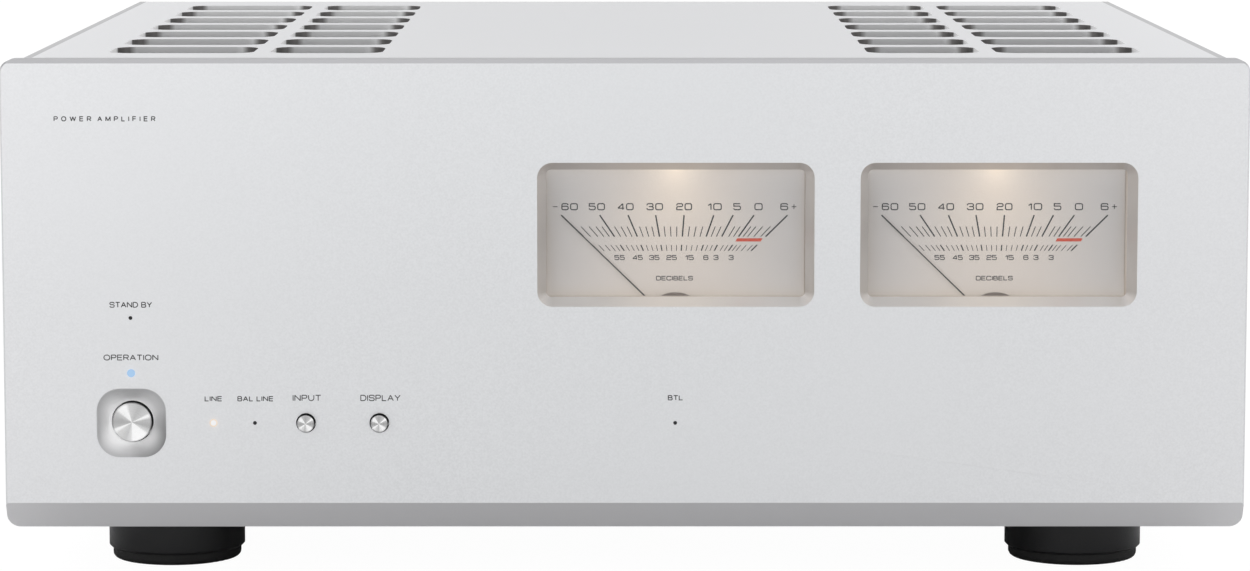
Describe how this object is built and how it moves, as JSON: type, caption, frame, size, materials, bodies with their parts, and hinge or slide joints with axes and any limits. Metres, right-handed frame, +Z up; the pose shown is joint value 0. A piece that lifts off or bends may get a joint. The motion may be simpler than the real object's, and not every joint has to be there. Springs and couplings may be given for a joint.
{
  "type": "power amplifier",
  "caption": "Full-width stereo power amplifier with needle meters, a dished power button, vented top cover, finned heat sinks and rear loudspeaker terminals.",
  "frame": {"origin": "under the middle of the overall size, at the bottom of the feet", "axes": "+X to the right seen from the front, the front panel faces -Y, +Z up"},
  "size_m": [0.44, 0.4273, 0.19],
  "materials": {
    "panel_silver": "fine bead-blasted, anodised",
    "cover_silver": "fine bead-blasted, anodised",
    "side_silver": "satin anodised",
    "button_silver": "turned",
    "dish_silver": "satin",
    "rear_silver": "satin",
    "chassis_steel": "satin",
    "glass_clear": "clear",
    "meter_case_cream": "matte",
    "dial_cream": "matte",
    "needle_black": "matte",
    "hub_black": "satin",
    "movement_steel": "plain",
    "lamp_warm": "lit",
    "led_blue": "lit",
    "led_warm": "lit",
    "led_dark": "unlit",
    "switch_black": "satin",
    "board_green": "satin",
    "sink_black": "black anodised",
    "transistor_black": "satin",
    "core_iron": "varnished laminations",
    "winding_copper": "enamelled wire",
    "capacitor_black": "sleeved",
    "gold": "gold plated",
    "base_black": "satin",
    "knob_black": "gloss",
    "knob_red": "gloss",
    "insulator_white": "satin",
    "shell_nickel": "satin nickel",
    "pin_nickel": "nickel plated",
    "foot_black": "satin",
    "pad_rubber": "matte",
    "screw_steel": "plain"
  },
  "bodies": {
    "chassis": {"front_panel": "panel_silver", "front_subframe": "chassis_steel", "chassis_base": "chassis_steel", "side_panel_left": "side_silver", "side_panel_right": "side_silver", "rear_panel": "rear_silver", "top_cover": "cover_silver", "power_button_dish": "dish_silver", "power_switch": "switch_black", "button_switches": "switch_black", "control_board": "board_green", "operation_lens": "led_blue", "line_lens": "led_warm", "unlit_lenses": "led_dark", "meter_glasses": "glass_clear", "meter_cases": "meter_case_cream", "meter_dials": "dial_cream", "meter_hub_covers": "hub_black", "meter_movements": "movement_steel", "meter_lamps": "lamp_warm", "heat_sink_left": "sink_black", "heat_sink_right": "sink_black", "output_transistors": "transistor_black", "driver_boards": "board_green", "transformer_core": "core_iron", "transformer_windings": "winding_copper", "filter_capacitors": "capacitor_black", "power_supply_board": "board_green", "input_board": "board_green", "speaker_post_cores": "gold", "speaker_post_bases": "base_black", "rca_jacks": "gold", "rca_insulators": "insulator_white", "xlr_shells": "shell_nickel", "xlr_inserts": "base_black", "switch_bodies": "switch_black", "ac_inlet": "base_black", "ac_inlet_pins": "pin_nickel", "foot_bodies": "foot_black", "foot_pads": "pad_rubber", "foot_screws": "screw_steel", "rear_screws": "screw_steel"},
    "power_button": {"power_button": "button_silver"},
    "input_button": {"input_button": "button_silver"},
    "display_button": {"display_button": "button_silver"},
    "meter_needle_left": {"meter_needle_left": "needle_black"},
    "meter_needle_right": {"meter_needle_right": "needle_black"},
    "clamp_washer_1": {"clamp_washer_1": "gold"},
    "clamp_washer_2": {"clamp_washer_2": "gold"},
    "clamp_washer_3": {"clamp_washer_3": "gold"},
    "clamp_washer_4": {"clamp_washer_4": "gold"},
    "clamp_knob_1": {"clamp_knob_1": "knob_red"},
    "clamp_knob_2": {"clamp_knob_2": "knob_black"},
    "clamp_knob_3": {"clamp_knob_3": "knob_red"},
    "clamp_knob_4": {"clamp_knob_4": "knob_black"},
    "xlr_latch_left": {"xlr_latch_left": "shell_nickel"},
    "xlr_latch_right": {"xlr_latch_right": "shell_nickel"},
    "phase_slider_left": {"phase_slider_left": "insulator_white"},
    "phase_slider_right": {"phase_slider_right": "insulator_white"},
    "mode_slider": {"mode_slider": "insulator_white"}
  },
  "joints": [
    {"name": "power_press", "type": "slide", "parent": "chassis", "child": "power_button", "axis": [0, 1, 0], "range_m": [0, 0.0025], "stiffness_N_per_m": 900},
    {"name": "input_press", "type": "slide", "parent": "chassis", "child": "input_button", "axis": [0, 1, 0], "range_m": [0, 0.0015], "stiffness_N_per_m": 800},
    {"name": "display_press", "type": "slide", "parent": "chassis", "child": "display_button", "axis": [0, 1, 0], "range_m": [0, 0.0015], "stiffness_N_per_m": 800},
    {"name": "meter_swing_left", "type": "hinge", "parent": "chassis", "child": "meter_needle_left", "pos_m": [0.01795, -0.1965, 0.0944], "axis": [0, 1, 0], "range_deg": [0, 91], "stiffness_Nm_per_rad": 0.0001},
    {"name": "meter_swing_right", "type": "hinge", "parent": "chassis", "child": "meter_needle_right", "pos_m": [0.132, -0.1965, 0.0944], "axis": [0, 1, 0], "range_deg": [0, 91], "stiffness_Nm_per_rad": 0.0001},
    {"name": "clamp_travel_1", "type": "slide", "parent": "chassis", "child": "clamp_washer_1", "axis": [0, 1, 0], "range_m": [0, 0.00375]},
    {"name": "clamp_turn_1", "type": "hinge", "parent": "clamp_washer_1", "child": "clamp_knob_1", "pos_m": [-0.13, 0.2025, 0.072], "axis": [0, 1, 0], "range_deg": [0, 1080]},
    {"name": "clamp_travel_2", "type": "slide", "parent": "chassis", "child": "clamp_washer_2", "axis": [0, 1, 0], "range_m": [0, 0.00375]},
    {"name": "clamp_turn_2", "type": "hinge", "parent": "clamp_washer_2", "child": "clamp_knob_2", "pos_m": [-0.1, 0.2025, 0.072], "axis": [0, 1, 0], "range_deg": [0, 1080]},
    {"name": "clamp_travel_3", "type": "slide", "parent": "chassis", "child": "clamp_washer_3", "axis": [0, 1, 0], "range_m": [0, 0.00375]},
    {"name": "clamp_turn_3", "type": "hinge", "parent": "clamp_washer_3", "child": "clamp_knob_3", "pos_m": [0.1, 0.2025, 0.072], "axis": [0, 1, 0], "range_deg": [0, 1080]},
    {"name": "clamp_travel_4", "type": "slide", "parent": "chassis", "child": "clamp_washer_4", "axis": [0, 1, 0], "range_m": [0, 0.00375]},
    {"name": "clamp_turn_4", "type": "hinge", "parent": "clamp_washer_4", "child": "clamp_knob_4", "pos_m": [0.13, 0.2025, 0.072], "axis": [0, 1, 0], "range_deg": [0, 1080]},
    {"name": "latch_press_left", "type": "slide", "parent": "chassis", "child": "xlr_latch_left", "axis": [0, -1, 0], "range_m": [0, 0.0015], "stiffness_N_per_m": 700},
    {"name": "latch_press_right", "type": "slide", "parent": "chassis", "child": "xlr_latch_right", "axis": [0, -1, 0], "range_m": [0, 0.0015], "stiffness_N_per_m": 700},
    {"name": "phase_left_select", "type": "slide", "parent": "chassis", "child": "phase_slider_left", "axis": [1, 0, 0], "range_m": [0, 0.0045]},
    {"name": "phase_right_select", "type": "slide", "parent": "chassis", "child": "phase_slider_right", "axis": [1, 0, 0], "range_m": [0, 0.0045]},
    {"name": "mode_select", "type": "slide", "parent": "chassis", "child": "mode_slider", "axis": [1, 0, 0], "range_m": [0, 0.0045]}
  ],
  "couplings": [
    {"joint": "clamp_travel_1", "follows": "clamp_turn_1", "m_per_rad": 0.00019894},
    {"joint": "clamp_travel_2", "follows": "clamp_turn_2", "m_per_rad": 0.00019894},
    {"joint": "clamp_travel_3", "follows": "clamp_turn_3", "m_per_rad": 0.00019894},
    {"joint": "clamp_travel_4", "follows": "clamp_turn_4", "m_per_rad": 0.00019894}
  ]
}
